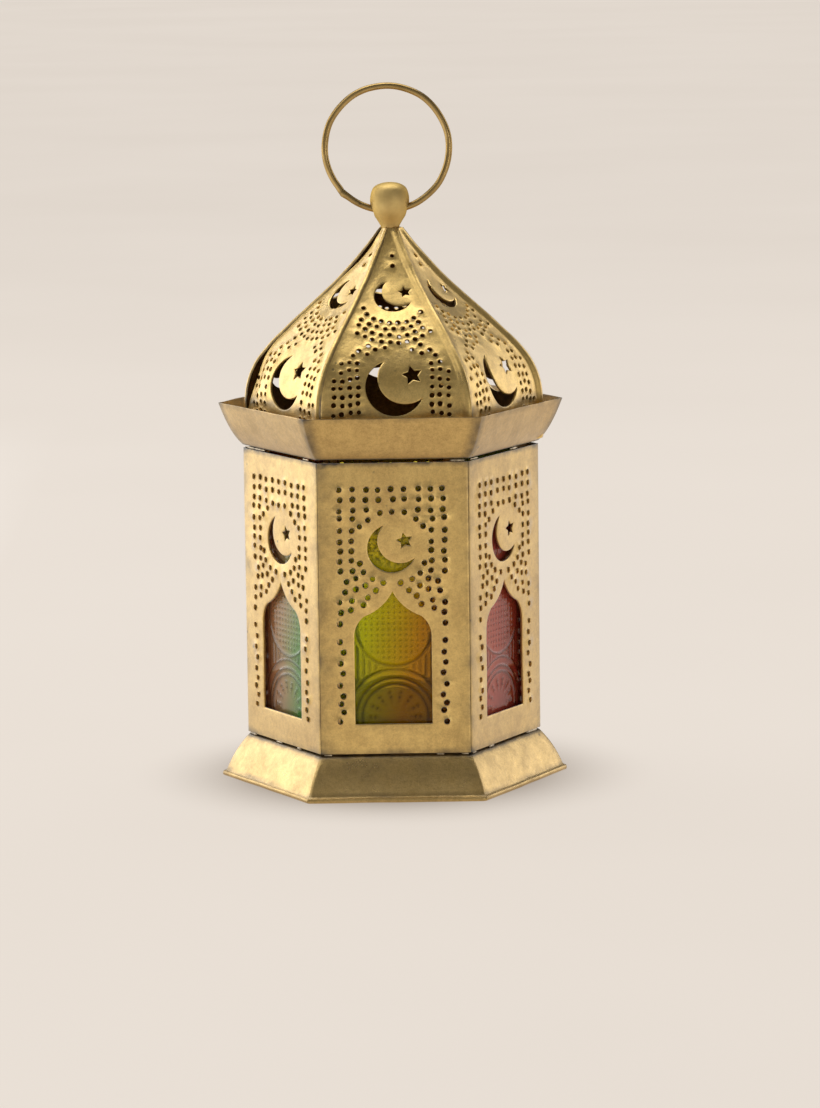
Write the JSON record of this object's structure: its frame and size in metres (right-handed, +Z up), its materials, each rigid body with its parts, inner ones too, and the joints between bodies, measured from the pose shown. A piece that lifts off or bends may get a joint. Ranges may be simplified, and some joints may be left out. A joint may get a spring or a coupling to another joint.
{
  "type": "candle lantern",
  "caption": "Hexagonal pierced brass candle lantern with coloured glass panes, a hinged door with a turn latch, a domed roof and a carrying ring.",
  "frame": {"origin": "middle of the foot's hexagon, on the surface that the lantern stands on", "axes": "+Z up the lantern's axis, the front side faces -Y, and two corners of the hexagon lie on the X axis"},
  "size_m": [0.106, 0.0918, 0.2109],
  "materials": {
    "side_brass": "satin gold, rubbed",
    "roof_brass": "satin gold, rubbed",
    "skirt_brass": "satin gold, grime in the folds",
    "inner_brass": "dull, unpolished",
    "fitting_brass": "worn",
    "wire_brass": "drawn wire, darkened",
    "bead_brass": "satin",
    "amber_glass": "pressed",
    "green_glass": "pressed",
    "red_glass": "pressed"
  },
  "bodies": {
    "lantern": {"base_skirt": "skirt_brass", "candle_cup": "inner_brass", "collar": "skirt_brass", "finial_bead": "bead_brass", "floor_plate": "inner_brass", "glass_front": "amber_glass", "glass_front_left": "green_glass", "glass_front_right": "red_glass", "glass_rear_left": "red_glass", "glass_rear_right": "green_glass", "hinge_lower_fixed_leaf": "fitting_brass", "hinge_lower_pin": "fitting_brass", "hinge_upper_fixed_leaf": "fitting_brass", "hinge_upper_pin": "fitting_brass", "latch_keeper": "fitting_brass", "left_channel_front": "inner_brass", "left_channel_front_left": "inner_brass", "left_channel_front_right": "inner_brass", "left_channel_rear_left": "inner_brass", "left_channel_rear_right": "inner_brass", "panel_front": "side_brass", "panel_front_left": "side_brass", "panel_front_right": "side_brass", "panel_rear_left": "side_brass", "panel_rear_right": "side_brass", "right_channel_front": "inner_brass", "right_channel_front_left": "inner_brass", "right_channel_front_right": "inner_brass", "right_channel_rear_left": "inner_brass", "right_channel_rear_right": "inner_brass", "roof_gore_front": "roof_brass", "roof_gore_front_left": "roof_brass", "roof_gore_front_right": "roof_brass", "roof_gore_rear": "roof_brass", "roof_gore_rear_left": "roof_brass", "roof_gore_rear_right": "roof_brass"},
    "door": {"door_panel": "side_brass", "glass_door": "amber_glass", "door_sill": "inner_brass", "door_knob": "fitting_brass", "latch_rivet": "fitting_brass", "left_channel_door": "inner_brass", "right_channel_door": "inner_brass", "hinge_lower_door_leaf": "fitting_brass", "hinge_upper_door_leaf": "fitting_brass"},
    "latch": {"latch_button": "fitting_brass"},
    "handle_ring": {"handle_ring": "wire_brass"}
  },
  "joints": [
    {"name": "ring_swing", "type": "hinge", "parent": "lantern", "child": "handle_ring", "pos_m": [0, 0, 0.1725], "axis": [1, 0, 0], "range_deg": [-138, 138]},
    {"name": "door_hinge", "type": "hinge", "parent": "lantern", "child": "door", "pos_m": [0.0236, 0.04087, 0.055], "axis": [0, 0, -1], "range_deg": [0, 150]},
    {"name": "latch_turn", "type": "hinge", "parent": "door", "child": "latch", "pos_m": [-0.0202, 0.03977, 0.066], "axis": [0, -1, 0], "range_deg": [0, 90]}
  ]
}
